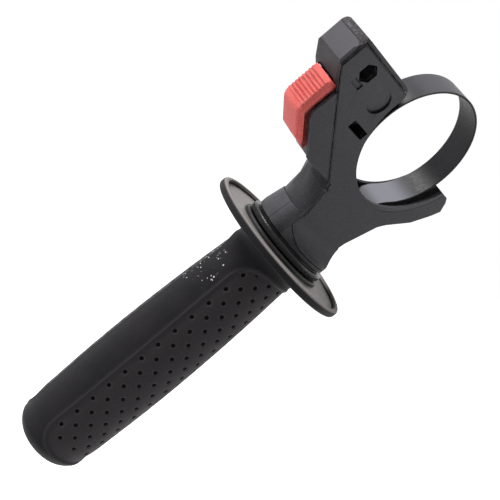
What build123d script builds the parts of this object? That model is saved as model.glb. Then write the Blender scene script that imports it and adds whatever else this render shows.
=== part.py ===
from build123d import *
import os
from math import atan2, cos, pi, radians, sin, sqrt

# Side handle for a rotary hammer. The origin is the centre of the collar loop, the tool's axis
# is Y, the grip hangs along -Z and the release button faces -X. All lengths are millimetres.

# Clamp loop
collar_radius = 25.0
band_thickness = 0.8
band_width = 11.2
band_bend_radius = 15.0
tab_gap = 16.2
tab_overlap = 5.2
tab_corner_radius = 4.0

# Eye bolt, its cross pin and its nut
pin_diameter = 5.0
pin_height = -36.0
pin_clearance = 0.05
pin_end_room = 1.6
eye_room = 2.0
pin_head_diameter = 7.6
pin_head_thickness = 1.4
eye_radius = 5.2
eye_clearance = 0.1
bolt_diameter = 8.0
bolt_length = 50.0
bolt_chamfer = 1.0
nut_across_flats = 13.0
nut_thickness = 6.5
nut_cover = 7.4
nut_clearance = 0.06

# Housing outline
housing_half_depth = 8.0
nose_end = -64.2
housing_top = 11.3
top_corner_radius = 5.0
nose_top_radius = 3.0
rim_chamfer = 1.4
nose_cut_low = 5.0
nose_cut_high = 8.9
nose_cut_reach = 6.5
nose_cut_run = 1.4
nose_cut_end = 10.2
cradle_radius = 30.0
cradle_floor_z = -25.3
cradle_wall_inset = 2.1
channel_depth = 1.5
arm_channel_depth = 3.2
arm_tip_x = 38.3
arm_tip_z = -8.2
arm_end_x = 33.6
arm_end_z = -2.8
arm_end_bevel_run = 2.2
arm_end_bevel_fall = 1.6
arm_belly_x = 36.3
arm_belly_z = -12.1
arm_middle_x = 31.1
arm_middle_z = -19.6
arm_root_x = 21.8
arm_root_z = -27.2
nose_bottom_z = -5.6
nose_slope_run = 6.7
nose_lip = 2.0
panel_edge_inset = 10.2
panel_bottom_z = -30.4
panel_foot_length = 8.0
panel_lean = 0.2
panel_corner_rise = 2.5
panel_corner_inset = 1.4
panel_corner_z = -19.9
panel_heel_x = -38.0
cheek_setback = 2.2
heel_bevel_run = 6.5
heel_bevel_rise = 2.9
panel_heel_z = -30.0

# Round neck under the cradle
neck_base_z = -56.9
neck_base_radius = 17.6
neck_base_edge = 0.5
neck_base_rise = 3.0
collar_top_z = -46.3
collar_step = 0.4
waist_radius = 16.1
shoulder_radius = 20.4
shoulder_z = -30.0
shoulder_dome = 4.2
shoulder_lip = 0.6
flare_z = -38.0
flare_neck_radius = 16.9
shoulder_low_z = -33.0
shoulder_low_radius = 18.9
shoulder_top_z = -27.6
shoulder_top_radius = 17.0
scoop_radius = 8.0
scoop_start_z = -46.3

# Front cover
cover_thickness = 1.5
seam_gap = 0.3
cover_top_z = 9.6
cover_inset = 1.6
seam_start_inset = 3.6
seam_start_z = -2.6
seam_end_x = -17.2
seam_end_z = -33.2
tongue_half_width = 15.6
tongue_length = 8.6
tongue_corner_radius = 6.5
seam_corner_rise = 1.8
pocket_inset = 9.1
pocket_z = 0.8
pocket_diameter = 9.6
pocket_depth = 1.2
pocket_tilt = 4.5
window_z = -10.8
window_width = 9.8
window_height = 3.4
window_pocket_depth = 5.0
mark_drop = 4.9
mark_offset = 0.2
mark_width = 5.6
mark_height = 2.4
mark_depth = 0.6

# Depth rod guide
hex_inset = 12.6
hex_z = 4.0
hex_across_flats = 6.7

# Release button with its lock plate and spring
button_half_width = 6.3
button_side_clearance = 0.2
button_protrusion = 3.7
button_travel = 3.0
button_top_z = -6.4
button_depth = 11.7
button_slope_offset = 3.0
button_heel_z = -27.9
button_hip_z = -21.0
tail_x = -40.8
tail_z = -29.0
tail_thickness = 3.4
button_edge_radius = 2.0
cap_gap = 0.8
button_waist = 1.2
button_knee_radius = 4.0
rib_count = 8
rib_pitch = 1.45
rib_radius = 0.5
rib_first_z = -8.3
rib_half_length = 5.0
stop_clearance = 0.3
lock_plate_thickness = 2.0
lock_plate_clearance = 0.15
lock_plate_web = 2.2
lock_plate_left_web = 1.4
lock_plate_chamfer = 2.6
lock_window_gap = 0.4
lock_leg_width = 8.0
lock_leg_depth = 4.6
spring_z = -14.8
spring_diameter = 5.4
spring_wire = 0.7
spring_coils = 5
spring_seat_depth = 4.0
spring_pocket_depth = 6.2
spring_clearance = 0.35

# Thrust ring and washer
ring_radius = 19.0
ring_height = 2.8
ring_gap = 0.6
ring_edge = 0.7
spigot_radius = 16.4
spigot_depth = 1.5
spigot_clearance = 0.1
running_gap = 0.3
washer_radius = 14.0
washer_thickness = 1.2
washer_clearance = 0.3
washer_gap = 0.05

# Grip
hub_radius = 20.0
hub_edge = 0.4
hub_height = 1.6
flange_core_thickness = 1.2
rim_radius = 33.3
rim_width = 2.2
rim_top_z = -60.7
rim_bottom_z = -64.0
rim_edge = 0.9
core_radius = 12.0
core_bottom_z = -181.0
bolt_clearance = 0.3
bolt_well_depth = 6.0
flare_radius = 5.4
grip_neck_z = -70.0
grip_neck_radius = 14.8
grip_stations = (
    (16.1, -90.0),
    (17.0, -110.0),
    (17.5, -132.0),
    (17.5, -146.0),
    (17.2, -161.0),
    (16.8, -173.0),
)
grip_tail_radius = 15.6
grip_tail_z = -182.0
grip_corner_radius = 13.4
grip_corner_z = -186.1
grip_cap_radius = 8.5
grip_cap_z = -188.3
grip_end_z = -188.8
panel_top_z = -71.0
panel_floor_z = -181.0
panel_half_width = 17.0
panel_half_angle = 67.0
panel_corner_radius = 12.0
panel_recess = 0.45

# How far a cut runs past what it cuts
cut_margin = 1.0

# Places that follow from the sizes above
nose_slope_x = nose_end + nose_slope_run
panel_edge_x = nose_end + panel_edge_inset
panel_corner_x = panel_edge_x + panel_corner_inset
cover_left_x = nose_end + cover_inset
seam_start_x = nose_end + seam_start_inset
hex_x = nose_end + hex_inset
mark_x = hex_x + mark_offset
mark_z = hex_z - mark_drop
flange_core_radius = rim_radius - rim_width
band_middle_radius = collar_radius + band_thickness / 2
tab_middle_x = (tab_gap + band_thickness) / 2
tab_outer_x = tab_gap / 2 + band_thickness
tab_end_z = pin_height - tab_overlap
bend_centre_x = tab_middle_x + band_bend_radius
bend_centre_z = -sqrt((band_middle_radius + band_bend_radius) ** 2 - bend_centre_x**2)
bend_angle = atan2(bend_centre_z, bend_centre_x)
cradle_centre_z = cradle_floor_z + cradle_radius
cradle_wall_x = cradle_wall_inset - cradle_radius
pocket_x = cradle_wall_x - pocket_inset
window_x = cradle_wall_x - window_width / 2
channel_half_width = housing_half_depth - cover_thickness
channel_radius = cradle_radius + channel_depth
arm_channel_radius = cradle_radius + arm_channel_depth
deep_channel_start = band_middle_radius * cos(bend_angle) + channel_depth
pocket_half_length = tab_outer_x + pin_head_thickness + pin_end_room
pocket_bottom_z = pin_height - eye_radius - eye_room
bolt_end_z = pin_height - bolt_length
bore_radius = bolt_diameter / 2 + bolt_clearance
well_bottom_z = bolt_end_z - bolt_well_depth
scoop_y = -housing_half_depth - scoop_radius
shoulder_side_x = sqrt(shoulder_radius**2 - housing_half_depth**2)
waist_side_x = sqrt(waist_radius**2 - housing_half_depth**2)
cradle_meets_wall_z = cradle_centre_z - sqrt(cradle_radius**2 - cradle_wall_x**2)
arm_inner_x = sqrt(cradle_radius**2 - (arm_end_z - cradle_centre_z) ** 2)
outside_y = shoulder_radius + 2 * cut_margin
hex_corner = hex_across_flats / sqrt(3)
pocket_floor_y = -housing_half_depth + pocket_depth / 2
button_left_x = panel_edge_x - button_protrusion
button_back_x = button_left_x + button_depth
cavity_half_width = button_half_width + button_side_clearance
cavity_right_x = button_back_x + button_travel + stop_clearance
cavity_top_z = button_top_z + button_side_clearance
slope_run = panel_heel_x - panel_corner_x
slope_fall = panel_corner_z - panel_heel_z
slope_length = sqrt(slope_run**2 + slope_fall**2)
knee_drop = button_slope_offset * slope_length - button_protrusion * slope_fall
button_knee_z = panel_corner_z - knee_drop / slope_run
cap_corner_z = panel_corner_z - cap_gap * (slope_length - slope_fall) / slope_run
cap_heel_x = panel_edge_x - cap_gap + (cap_corner_z - button_heel_z) * slope_run / slope_fall
button_heel_x = button_left_x + (button_knee_z - button_heel_z) * slope_run / slope_fall
cavity_tail_x = tail_x + button_travel + stop_clearance
lock_window_right = hex_x + hex_corner + lock_window_gap
lock_window_left = hex_x - hex_corner - lock_window_gap - button_travel
lock_window_half_height = hex_across_flats / 2 + lock_window_gap
lock_plate_left_x = lock_window_left - lock_plate_left_web
lock_plate_right_x = lock_window_right + lock_plate_web
lock_plate_top_z = hex_z + lock_window_half_height + lock_plate_left_web
lock_frame_bottom_z = hex_z - lock_window_half_height - lock_plate_web
lock_leg_left_x = hex_x - lock_leg_width / 2
lock_leg_right_x = hex_x + lock_leg_width / 2
lock_leg_bottom_z = button_top_z - lock_leg_depth
spring_start_x = button_back_x - spring_seat_depth
spring_end_x = cavity_right_x + spring_pocket_depth
ring_top_z = neck_base_z - ring_gap
ring_bottom_z = ring_top_z - ring_height
hub_top_z = ring_bottom_z - running_gap
flange_floor_z = hub_top_z - hub_height
flange_under_z = flange_floor_z - flange_core_thickness
washer_top_z = ring_bottom_z - washer_gap
washer_bottom_z = washer_top_z - washer_thickness
nut_top = washer_bottom_z - nut_cover
panel_near_x = core_radius * sin(radians(panel_half_angle))
panel_near_y = core_radius * cos(radians(panel_half_angle))

os.makedirs("parts", exist_ok=True)


def grip_line(inset):
    """The grip's side from neck to tail through its stations, moved in by an inset."""
    stations = ((grip_neck_radius, grip_neck_z), *grip_stations, (grip_tail_radius, grip_tail_z))
    Polyline(*[(radius - inset, z) for radius, z in stations])


def cover_slab(gap):
    """The front cover's region, widened by a gap round its outline.

    Seen from the side its inner face is flat, and the lower end curls out round the scoop.
    """
    curl_radius = scoop_radius + cover_thickness
    curl_z = scoop_start_z - curl_radius
    with BuildPart() as slab:
        with BuildSketch(Plane.XZ):
            with BuildLine():
                Polyline(
                    (cover_left_x, cover_top_z),
                    (cover_left_x, seam_start_z + seam_corner_rise),
                    (seam_start_x, seam_start_z),
                    (seam_end_x, seam_end_z),
                    (seam_end_x, scoop_start_z),
                    (arm_tip_x + cut_margin, scoop_start_z),
                    (arm_tip_x + cut_margin, cover_top_z),
                    close=True,
                )
            make_face()
            with Locations((0, scoop_start_z)):
                RectangleRounded(2 * tongue_half_width, 2 * tongue_length, tongue_corner_radius)
            if gap:
                offset(amount=gap, kind=Kind.INTERSECTION)
        extrude(amount=outside_y)
        with BuildSketch(Plane.YZ):
            with BuildLine():
                Polyline(
                    (scoop_y, curl_z),
                    (-outside_y, curl_z),
                    (-outside_y, housing_top),
                    (-channel_half_width, housing_top),
                    (-channel_half_width, scoop_start_z),
                )
                ThreePointArc(
                    (-channel_half_width, scoop_start_z),
                    (scoop_y + curl_radius * sqrt(0.5), scoop_start_z - curl_radius * sqrt(0.5)),
                    (scoop_y, curl_z),
                )
            make_face()
        extrude(amount=-nose_end + 2 * cut_margin, both=True, mode=Mode.INTERSECT)
    return slab.part


# Outer form of the housing, cover included: a flat block cut by the cradle, on a round neck
with BuildPart() as outer_form:
    with BuildSketch(Plane.XZ):
        with BuildLine():
            Polyline(
                (nose_end, housing_top),
                (nose_end, 0),
                (nose_slope_x, nose_bottom_z),
                (panel_edge_x, nose_bottom_z - nose_lip),
                (panel_edge_x - panel_lean, panel_corner_z + panel_corner_rise),
                (panel_corner_x, panel_corner_z),
                (panel_heel_x, panel_heel_z),
                (panel_heel_x + panel_foot_length, panel_bottom_z),
                (-shoulder_side_x, panel_bottom_z),
                (-waist_side_x, collar_top_z + 2),
                (waist_side_x, collar_top_z + 2),
                (shoulder_side_x + shoulder_lip, shoulder_z),
                (arm_root_x, arm_root_z),
                (arm_middle_x, arm_middle_z),
                (arm_belly_x, arm_belly_z),
                (arm_tip_x, arm_tip_z),
                (arm_end_x + arm_end_bevel_run, arm_end_z - arm_end_bevel_fall),
                (arm_end_x, arm_end_z),
                (arm_inner_x, arm_end_z),
            )
            ThreePointArc(
                (arm_inner_x, arm_end_z),
                (0, cradle_floor_z),
                (cradle_wall_x, cradle_meets_wall_z),
            )
            Polyline(
                (cradle_wall_x, cradle_meets_wall_z),
                (cradle_wall_x, housing_top),
                (nose_end, housing_top),
            )
        make_face()
    extrude(amount=housing_half_depth, both=True)
    corners = outer_form.edges().filter_by(Axis.Y)
    fillet(corners.sort_by_distance((cradle_wall_x, 0, housing_top))[0], top_corner_radius)
    fillet(corners.sort_by_distance((nose_end, 0, housing_top))[0], nose_top_radius)
    # Bevels along the two long top edges
    top_edges = outer_form.edges().filter_by(Axis.X).group_by(Axis.Z)[-1]
    chamfer(top_edges, rim_chamfer)
    # Round neck, a little narrower above its collar, flaring up to a domed shoulder
    with BuildSketch(Plane.XZ):
        with BuildLine():
            Polyline(
                (0, shoulder_z + shoulder_dome),
                (0, neck_base_z),
                (neck_base_radius - neck_base_edge, neck_base_z),
                (neck_base_radius, neck_base_z + neck_base_edge),
                (neck_base_radius, neck_base_z + neck_base_rise),
            )
            Polyline(
                (neck_base_radius, neck_base_z + neck_base_rise),
                (waist_radius + collar_step, collar_top_z),
                (waist_radius, collar_top_z),
                (flare_neck_radius, flare_z),
                (shoulder_low_radius, shoulder_low_z),
                (shoulder_radius, shoulder_z),
                (shoulder_top_radius, shoulder_top_z),
                (0, shoulder_z + shoulder_dome),
            )
        make_face()
    revolve(axis=Axis.Z)
    with BuildSketch(Plane.XZ):
        with Locations((0, cradle_centre_z)):
            Circle(cradle_radius)
    extrude(amount=outside_y, both=True, mode=Mode.SUBTRACT)
    # Scoop: the flat front runs down and curls out into the round base
    with BuildSketch(Plane.YZ):
        with BuildLine():
            Polyline(
                (scoop_y, scoop_start_z - scoop_radius),
                (-outside_y - cut_margin, scoop_start_z - scoop_radius),
                (-outside_y - cut_margin, housing_top),
                (-housing_half_depth, housing_top),
                (-housing_half_depth, scoop_start_z),
            )
            ThreePointArc(
                (-housing_half_depth, scoop_start_z),
                (scoop_y + scoop_radius * sqrt(0.5), scoop_start_z - scoop_radius * sqrt(0.5)),
                (scoop_y, scoop_start_z - scoop_radius),
            )
        make_face()
    extrude(amount=outside_y, both=True, mode=Mode.SUBTRACT)
    # Slanted face over the nose's front corner
    cut_side = Vector(0, nose_cut_reach, nose_cut_high - nose_cut_low)
    cut_rise = Vector(nose_cut_run, 0, nose_cut_end - nose_cut_low)
    cut_normal = cut_side.cross(cut_rise)
    cut_plane = Plane(
        origin=(nose_end, -housing_half_depth, nose_cut_low),
        x_dir=cut_side,
        z_dir=cut_normal if cut_normal.Z > 0 else -cut_normal,
    )
    with BuildSketch(cut_plane):
        Rectangle(4 * nose_cut_reach, 4 * nose_cut_reach)
    extrude(amount=3 * nose_cut_reach, mode=Mode.SUBTRACT)

# Front cover, flush in the housing's face
with BuildPart() as front_cover:
    add(outer_form.part)
    add(cover_slab(0), mode=Mode.INTERSECT)
    with BuildSketch(Plane.XZ.offset(housing_half_depth)):
        with Locations((hex_x, hex_z)):
            RegularPolygon(hex_across_flats / 2, 6, major_radius=False, rotation=30)
        with Locations((window_x, window_z)):
            Rectangle(window_width, window_height)
    extrude(amount=-cover_thickness - cut_margin, mode=Mode.SUBTRACT)
    # Round pocket with a sloping floor, deepest at its lower right
    pocket_floor = (pocket_x, pocket_floor_y, pocket_z)
    with Locations(Location(pocket_floor, (90 + pocket_tilt, pocket_tilt, 0))):
        Cylinder(
            pocket_diameter / 2,
            cover_thickness + cut_margin,
            align=(Align.CENTER, Align.CENTER, Align.MIN),
            mode=Mode.SUBTRACT,
        )
    with BuildSketch(Plane.XZ.offset(housing_half_depth)):
        with Locations((mark_x, mark_z)):
            Rectangle(mark_width, mark_height)
    extrude(amount=-mark_depth, mode=Mode.SUBTRACT)
front_cover.part.label = "front_cover"

# Housing body: the same outer form without the cover, hollowed for what it holds
with BuildPart() as housing_body:
    add(outer_form.part)
    add(cover_slab(seam_gap), mode=Mode.SUBTRACT)
    # Band channel between the cheeks, and the pocket for the band's ends and the bolt's eye
    with BuildSketch(Plane.XZ):
        with Locations((0, cradle_centre_z)):
            Circle(channel_radius)
        with Locations((0, (pocket_bottom_z + cradle_floor_z) / 2)):
            Rectangle(2 * pocket_half_length, cradle_floor_z - pocket_bottom_z)
    extrude(amount=channel_half_width, both=True, mode=Mode.SUBTRACT)
    with BuildSketch(Plane.XZ):
        with Locations((0, cradle_centre_z)):
            Circle(arm_channel_radius)
        with Locations((-deep_channel_start, cradle_centre_z)):
            Rectangle(
                deep_channel_start + arm_channel_radius,
                arm_channel_radius,
                align=(Align.MIN, Align.MAX),
                mode=Mode.INTERSECT,
            )
    extrude(amount=channel_half_width, both=True, mode=Mode.SUBTRACT)
    # Bore for the bolt, and the seat of the thrust ring's spigot
    with Locations((0, 0, neck_base_z)):
        Cylinder(
            bore_radius,
            pocket_bottom_z - neck_base_z + cut_margin,
            align=(Align.CENTER, Align.CENTER, Align.MIN),
            mode=Mode.SUBTRACT,
        )
        Cylinder(
            spigot_radius + spigot_clearance,
            spigot_depth,
            align=(Align.CENTER, Align.CENTER, Align.MIN),
            mode=Mode.SUBTRACT,
        )
    # Button cavity between two thin cheeks, open to the left and below
    with BuildSketch(Plane.XZ):
        with BuildLine():
            Polyline(
                (nose_end - 2 * cut_margin, cavity_top_z),
                (cavity_right_x, cavity_top_z),
                (cavity_right_x, button_hip_z),
                (cavity_tail_x, tail_z + tail_thickness),
                (cavity_tail_x, panel_bottom_z - 2 * cut_margin),
                (nose_end - 2 * cut_margin, panel_bottom_z - 2 * cut_margin),
                close=True,
            )
        make_face()
    extrude(amount=cavity_half_width, both=True, mode=Mode.SUBTRACT)
    # Slot of the lock plate, as long as its travel
    with BuildSketch(Plane.XZ):
        with BuildLine():
            Polyline(
                (lock_plate_left_x - stop_clearance, lock_plate_top_z + stop_clearance),
                (lock_plate_left_x - stop_clearance, lock_frame_bottom_z + lock_plate_chamfer),
                (
                    lock_plate_left_x - stop_clearance + lock_plate_chamfer,
                    lock_frame_bottom_z - stop_clearance,
                ),
                (lock_leg_left_x - stop_clearance, lock_frame_bottom_z - stop_clearance),
                (lock_leg_left_x - stop_clearance, button_top_z),
                (lock_leg_right_x + button_travel + stop_clearance, button_top_z),
                (lock_leg_right_x + button_travel + stop_clearance, lock_frame_bottom_z - stop_clearance),
                (lock_plate_right_x + button_travel + stop_clearance, lock_frame_bottom_z - stop_clearance),
                (lock_plate_right_x + button_travel + stop_clearance, lock_plate_top_z + stop_clearance),
                close=True,
            )
        make_face()
    extrude(amount=lock_plate_thickness / 2 + lock_plate_clearance, both=True, mode=Mode.SUBTRACT)
    # Guide for the depth rod
    with BuildSketch(Plane.XZ.offset(housing_half_depth)):
        with Locations((hex_x, hex_z)):
            RegularPolygon(hex_across_flats / 2, 6, major_radius=False, rotation=30)
    extrude(amount=-2 * housing_half_depth, mode=Mode.SUBTRACT)
    # Spring pocket
    with BuildSketch(Plane.YZ.offset(spring_end_x)):
        with Locations((0, spring_z)):
            Circle(spring_diameter / 2 + spring_clearance)
    extrude(amount=-spring_pocket_depth - cut_margin, mode=Mode.SUBTRACT)
    # Pocket behind the cover's window
    with BuildSketch(Plane.XZ.offset(channel_half_width)):
        with Locations((window_x, window_z)):
            Rectangle(window_width, window_height)
    extrude(amount=-window_pocket_depth, mode=Mode.SUBTRACT)
    # Rear cheek set back along the button's slope
    with BuildSketch(Plane.XZ.offset(-channel_half_width)):
        with BuildLine():
            Polyline(
                (panel_edge_x - cut_margin, cavity_top_z),
                (panel_edge_x + cheek_setback, cavity_top_z),
                (panel_edge_x + cheek_setback, panel_corner_z + cut_margin),
                (panel_heel_x + cheek_setback, panel_heel_z + cut_margin),
                (panel_heel_x + cheek_setback, panel_bottom_z - cut_margin),
                (panel_edge_x - cut_margin, panel_bottom_z - cut_margin),
                close=True,
            )
        make_face()
    extrude(amount=-cover_thickness - cut_margin, mode=Mode.SUBTRACT)
    # Bevel under the button's tail, behind the front cheek
    with BuildSketch(Plane.XZ.offset(channel_half_width)):
        with BuildLine():
            Polyline(
                (cavity_tail_x - heel_bevel_run, panel_bottom_z + 2 * heel_bevel_rise),
                (cavity_tail_x + heel_bevel_run, panel_bottom_z),
                (cavity_tail_x + heel_bevel_run, panel_bottom_z - cut_margin),
                (cavity_tail_x - heel_bevel_run, panel_bottom_z - cut_margin),
                close=True,
            )
        make_face()
    extrude(amount=-channel_half_width - housing_half_depth - cut_margin, mode=Mode.SUBTRACT)
housing_body.part.label = "housing_body"

# Release button: a wedge with a ribbed face, its slope along the housing's lower left edge
with BuildPart() as release_button:
    with BuildSketch(Plane.XZ):
        with BuildLine():
            Polyline(
                (button_left_x, button_top_z),
                (button_left_x, button_knee_z),
                (button_heel_x, button_heel_z),
                (tail_x, tail_z),
                (tail_x, tail_z + tail_thickness),
                (button_back_x, button_hip_z),
                (button_back_x, button_top_z),
                close=True,
            )
        make_face()
    extrude(amount=button_half_width, both=True)
    knee = release_button.edges().filter_by(Axis.Y).sort_by_distance((button_left_x, 0, button_knee_z))[0]
    fillet(knee, button_knee_radius)
    outer_edges = release_button.edges().filter_by(
        lambda e: abs(abs(e.center().Y) - button_half_width) < 0.01
        and e.center().Z < button_top_z - 1
        and e.center().X < tail_x - 1
        and (e.center().X < button_back_x - 1 or e.center().Z < button_heel_z)
    )
    fillet(outer_edges, button_edge_radius)
    for i in range(rib_count):
        with Locations(Location((button_left_x, 0, rib_first_z - i * rib_pitch), (90, 0, 0))):
            Cylinder(rib_radius, 2 * rib_half_length)
    # Narrower body behind the cap
    for face_y in (button_half_width, -button_half_width + button_waist):
        with BuildSketch(Plane.XZ.offset(face_y)):
            with BuildLine():
                Polyline(
                    (panel_edge_x - cap_gap, button_top_z + cut_margin),
                    (panel_edge_x - cap_gap, cap_corner_z),
                    (cap_heel_x, button_heel_z),
                    (cap_heel_x, button_heel_z - 3 * cut_margin),
                    (tail_x + cut_margin, button_heel_z - 3 * cut_margin),
                    (tail_x + cut_margin, button_top_z + cut_margin),
                    close=True,
                )
            make_face()
        extrude(amount=-button_waist, mode=Mode.SUBTRACT)
    # Slot of the lock plate's leg
    with BuildSketch(Plane.XZ):
        with Locations((hex_x, button_top_z - lock_leg_depth / 2)):
            Rectangle(lock_leg_width, lock_leg_depth)
    extrude(amount=lock_plate_thickness / 2, both=True, mode=Mode.SUBTRACT)
    # Seat of the spring
    with BuildSketch(Plane.YZ.offset(spring_start_x)):
        with Locations((0, spring_z)):
            Circle(spring_diameter / 2 + spring_clearance)
    extrude(amount=spring_seat_depth, mode=Mode.SUBTRACT)
release_button.part.label = "release_button"

# Lock plate: a window round the depth rod, on a leg held in the button
with BuildPart() as lock_plate:
    with BuildSketch(Plane.XZ):
        with BuildLine():
            Polyline(
                (lock_plate_left_x, lock_plate_top_z),
                (lock_plate_left_x, lock_frame_bottom_z + lock_plate_chamfer),
                (lock_plate_left_x + lock_plate_chamfer, lock_frame_bottom_z),
                (lock_leg_left_x, lock_frame_bottom_z),
                (lock_leg_left_x, lock_leg_bottom_z),
                (lock_leg_right_x, lock_leg_bottom_z),
                (lock_leg_right_x, lock_frame_bottom_z),
                (lock_plate_right_x, lock_frame_bottom_z),
                (lock_plate_right_x, lock_plate_top_z),
                close=True,
            )
        make_face()
        with Locations(((lock_window_left + lock_window_right) / 2, hex_z)):
            Rectangle(
                lock_window_right - lock_window_left,
                2 * lock_window_half_height,
                mode=Mode.SUBTRACT,
            )
    extrude(amount=lock_plate_thickness / 2, both=True)
lock_plate.part.label = "lock_plate"

# Return spring of the button, lying along X
with BuildPart() as button_spring:
    spring_radius = (spring_diameter - spring_wire) / 2
    spring_length = spring_end_x - spring_start_x - spring_wire
    with BuildLine() as coil:
        Helix(
            pitch=spring_length / spring_coils,
            height=spring_length,
            radius=spring_radius,
            center=(spring_start_x + spring_wire / 2, 0, spring_z),
            direction=(1, 0, 0),
        )
    with BuildSketch(Plane(origin=coil.line @ 0, z_dir=coil.line % 0)):
        RegularPolygon(spring_wire / 2, 6)
    sweep(path=coil.line, is_frenet=True)
button_spring.part.label = "button_spring"

# Clamp band: one strip round the collar, its ends bent down to two tabs
with BuildPart() as clamp_band:
    with BuildSketch(Plane.XZ):
        with BuildLine():
            for side_radius, tab_x, bend_side in (
                (collar_radius, tab_gap / 2, band_bend_radius + band_thickness / 2),
                (collar_radius + band_thickness, tab_outer_x, band_bend_radius - band_thickness / 2),
            ):
                start_x = side_radius * cos(bend_angle)
                start_z = side_radius * sin(bend_angle)
                middle_x = bend_centre_x + bend_side * cos(pi + bend_angle / 2)
                middle_z = bend_centre_z + bend_side * sin(pi + bend_angle / 2)
                Line((tab_x, tab_end_z), (tab_x, bend_centre_z))
                ThreePointArc((tab_x, bend_centre_z), (middle_x, middle_z), (start_x, start_z))
                ThreePointArc((start_x, start_z), (0, side_radius), (-start_x, start_z))
                ThreePointArc((-start_x, start_z), (-middle_x, middle_z), (-tab_x, bend_centre_z))
                Line((-tab_x, bend_centre_z), (-tab_x, tab_end_z))
            Line((tab_gap / 2, tab_end_z), (tab_outer_x, tab_end_z))
            Line((-tab_gap / 2, tab_end_z), (-tab_outer_x, tab_end_z))
        make_face()
    extrude(amount=band_width / 2, both=True)
    fillet(clamp_band.edges().filter_by(Axis.X).group_by(Axis.Z)[0], tab_corner_radius)
    with Locations(Location((0, 0, pin_height), (0, 90, 0))):
        Cylinder(pin_diameter / 2 + pin_clearance, 2 * tab_outer_x + cut_margin, mode=Mode.SUBTRACT)
clamp_band.part.label = "clamp_band"

# Cross pin through the tabs and the bolt's eye, headed at both ends
with BuildPart() as band_pin:
    with Locations(Location((0, 0, pin_height), (0, 90, 0))):
        Cylinder(pin_diameter / 2, 2 * tab_outer_x)
        for side in (-1, 1):
            with Locations((0, 0, side * (tab_outer_x + pin_head_thickness / 2))):
                Cylinder(pin_head_diameter / 2, pin_head_thickness)
    chamfer(band_pin.edges().filter_by(GeomType.CIRCLE).group_by(Axis.X)[0], pin_head_thickness / 4)
    chamfer(band_pin.edges().filter_by(GeomType.CIRCLE).group_by(Axis.X)[-1], pin_head_thickness / 4)
band_pin.part.label = "band_pin"

# Eye bolt: a flat eye between the tabs, and the shank down into the grip
with BuildPart() as clamp_bolt:
    with Locations(Location((0, 0, pin_height), (0, 90, 0))):
        Cylinder(eye_radius, tab_gap - 2 * eye_clearance)
    with Locations((0, 0, bolt_end_z)):
        Cylinder(bolt_diameter / 2, bolt_length, align=(Align.CENTER, Align.CENTER, Align.MIN))
    chamfer(clamp_bolt.edges().filter_by(GeomType.CIRCLE).group_by(Axis.Z)[0], bolt_chamfer)
    with Locations(Location((0, 0, pin_height), (0, 90, 0))):
        Cylinder(pin_diameter / 2 + pin_clearance, tab_gap, mode=Mode.SUBTRACT)
clamp_bolt.part.label = "clamp_bolt"

# Hex nut held in the grip's core
with BuildPart() as clamp_nut:
    with BuildSketch(Plane.XY.offset(nut_top)):
        RegularPolygon(nut_across_flats / 2, 6, major_radius=False)
        Circle(bolt_diameter / 2 + nut_clearance, mode=Mode.SUBTRACT)
    extrude(amount=-nut_thickness)
clamp_nut.part.label = "clamp_nut"

# Thrust ring: a stepped ring whose spigot sits in the housing's base
with BuildPart() as thrust_ring:
    with BuildSketch(Plane.XZ):
        with BuildLine():
            Polyline(
                (bore_radius, ring_bottom_z),
                (ring_radius, ring_bottom_z),
                (ring_radius, ring_top_z),
                (spigot_radius, ring_top_z),
                (spigot_radius, neck_base_z + spigot_depth),
                (bore_radius, neck_base_z + spigot_depth),
                close=True,
            )
        make_face()
    revolve(axis=Axis.Z)
    rims = thrust_ring.edges().filter_by(GeomType.CIRCLE).group_by(SortBy.RADIUS)[-1]
    chamfer(rims, ring_edge)
thrust_ring.part.label = "thrust_ring"

# Steel washer that the grip turns on
with BuildPart() as thrust_washer:
    with BuildSketch(Plane.XY.offset(washer_top_z)):
        Circle(washer_radius)
        Circle(bore_radius, mode=Mode.SUBTRACT)
    extrude(amount=-washer_thickness)
thrust_washer.part.label = "thrust_washer"

# Hard core of the grip: hub, flange and tube round the nut
with BuildPart() as grip_core:
    with BuildSketch(Plane.XZ):
        with BuildLine():
            Polyline(
                (0, washer_bottom_z),
                (washer_radius + washer_clearance, washer_bottom_z),
                (washer_radius + washer_clearance, hub_top_z),
                (hub_radius, hub_top_z),
                (hub_radius, flange_floor_z),
                (flange_core_radius, flange_floor_z),
                (flange_core_radius, flange_under_z),
                (core_radius, flange_under_z),
                (core_radius, core_bottom_z),
                (0, core_bottom_z),
                close=True,
            )
        make_face()
    revolve(axis=Axis.Z)
    hub_rim = grip_core.edges().filter_by(GeomType.CIRCLE).filter_by_position(Axis.Z, hub_top_z, hub_top_z)
    chamfer(hub_rim.sort_by(SortBy.RADIUS)[-1], hub_edge)
    with BuildSketch(Plane.XY.offset(washer_bottom_z)):
        Circle(bore_radius)
    extrude(amount=well_bottom_z - washer_bottom_z, mode=Mode.SUBTRACT)
    with BuildSketch(Plane.XY.offset(nut_top)):
        RegularPolygon(nut_across_flats / 2, 6, major_radius=False)
    extrude(amount=-nut_thickness, mode=Mode.SUBTRACT)
grip_core.part.label = "grip_core"

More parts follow.
